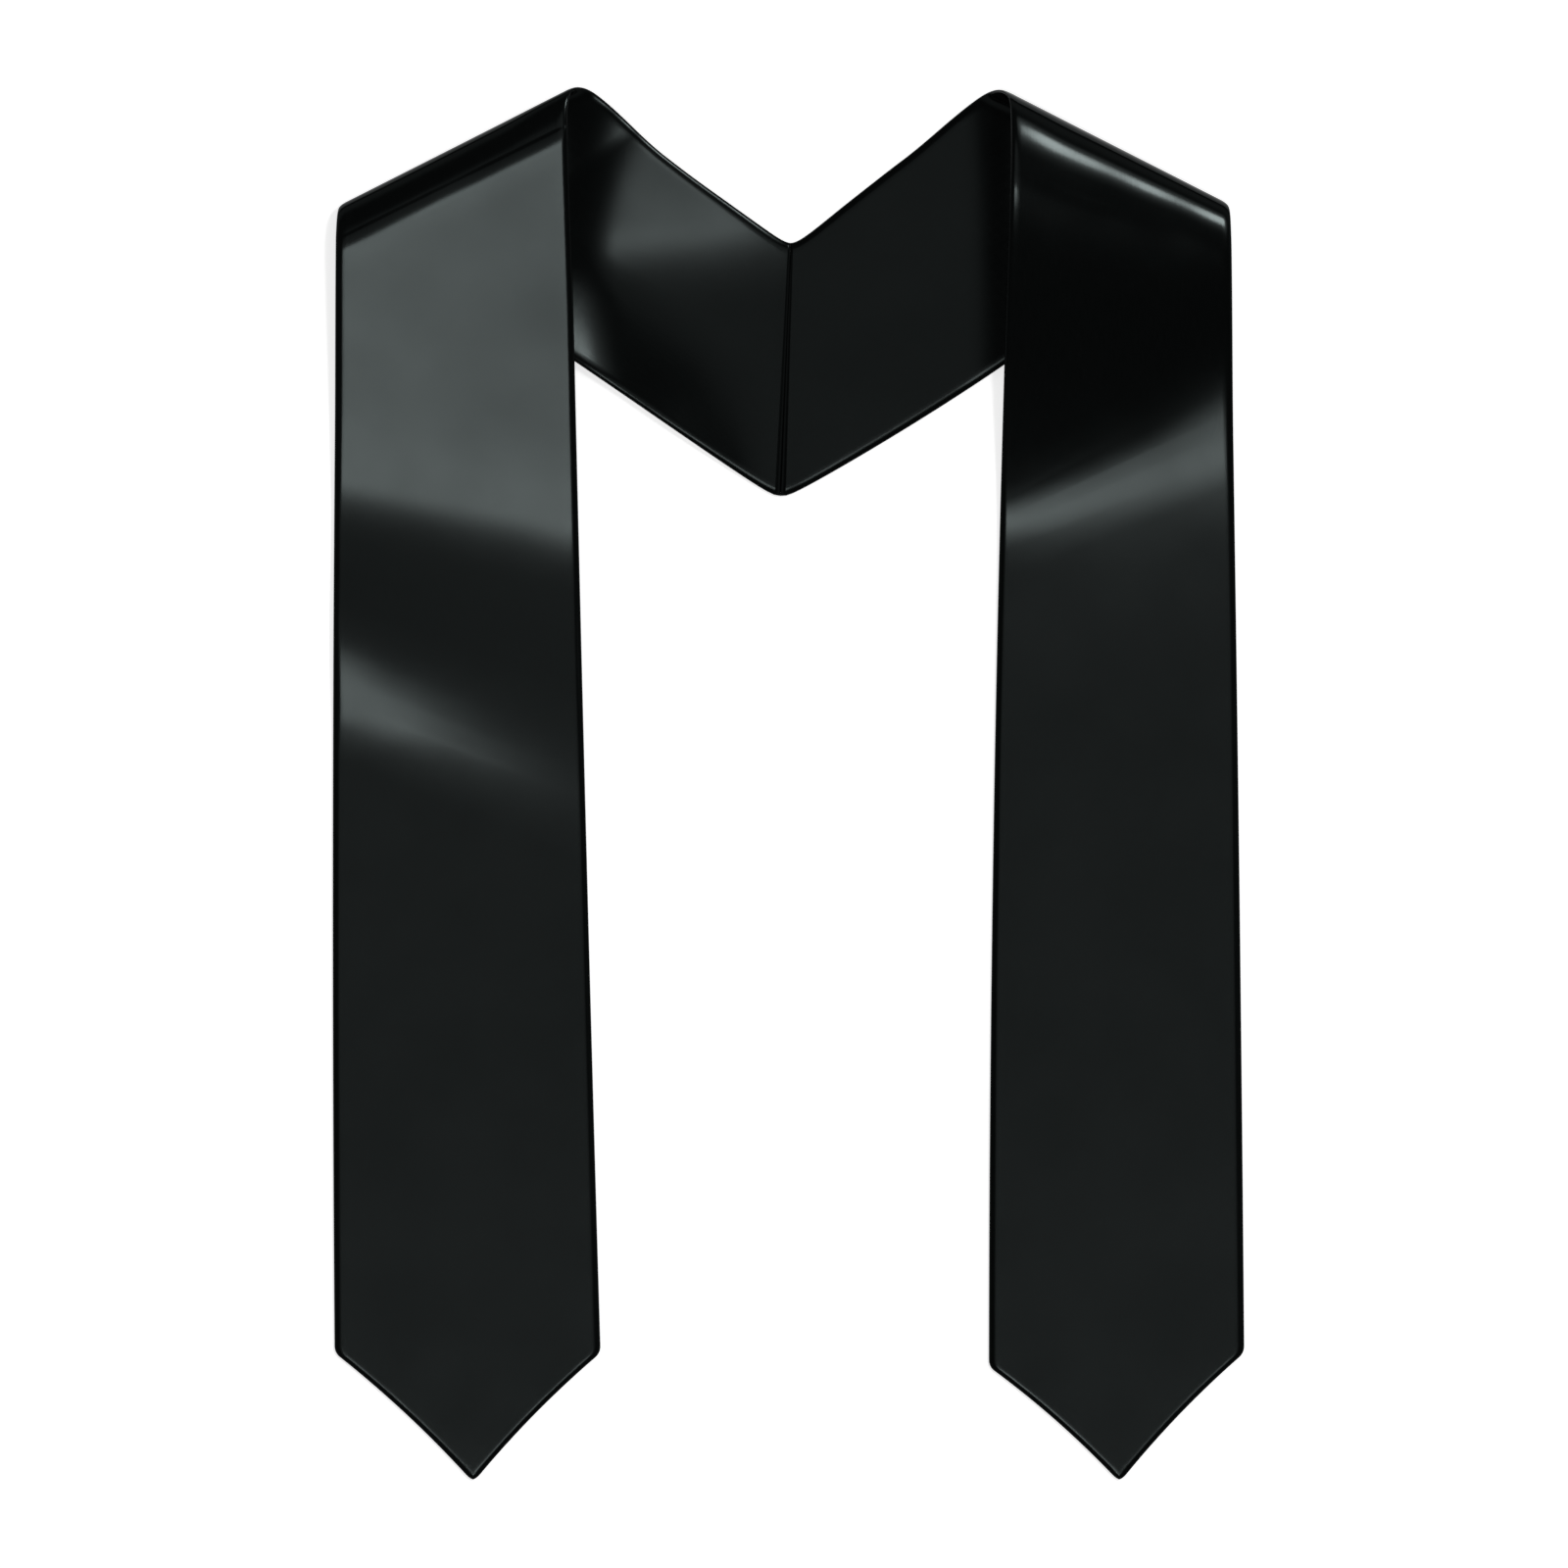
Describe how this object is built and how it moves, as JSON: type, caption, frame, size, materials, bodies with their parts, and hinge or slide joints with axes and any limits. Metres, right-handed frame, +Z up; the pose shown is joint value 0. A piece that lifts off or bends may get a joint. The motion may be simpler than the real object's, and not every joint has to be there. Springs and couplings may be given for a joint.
{
  "type": "graduation stole",
  "caption": "Plain satin graduation stole laid flat in an M: a mitred V back, soft rolls at the shoulders and two long straps with pointed ends.",
  "frame": {"origin": "middle of the outline, on the surface that the stole lies on", "axes": "+Z up from the surface towards the viewer, +Y from the pointed ends to the neck, +X to the right strap as it is looked at"},
  "size_m": [0.4034, 0.6166, 0.024],
  "materials": {
    "face_satin": "black polyester satin, smooth float side out",
    "lining_satin": "black polyester satin, smooth float side out"
  },
  "bodies": {
    "root": {"left_face": "face_satin", "right_face": "face_satin", "left_lining": "lining_satin", "right_lining": "lining_satin"}
  },
  "joints": []
}
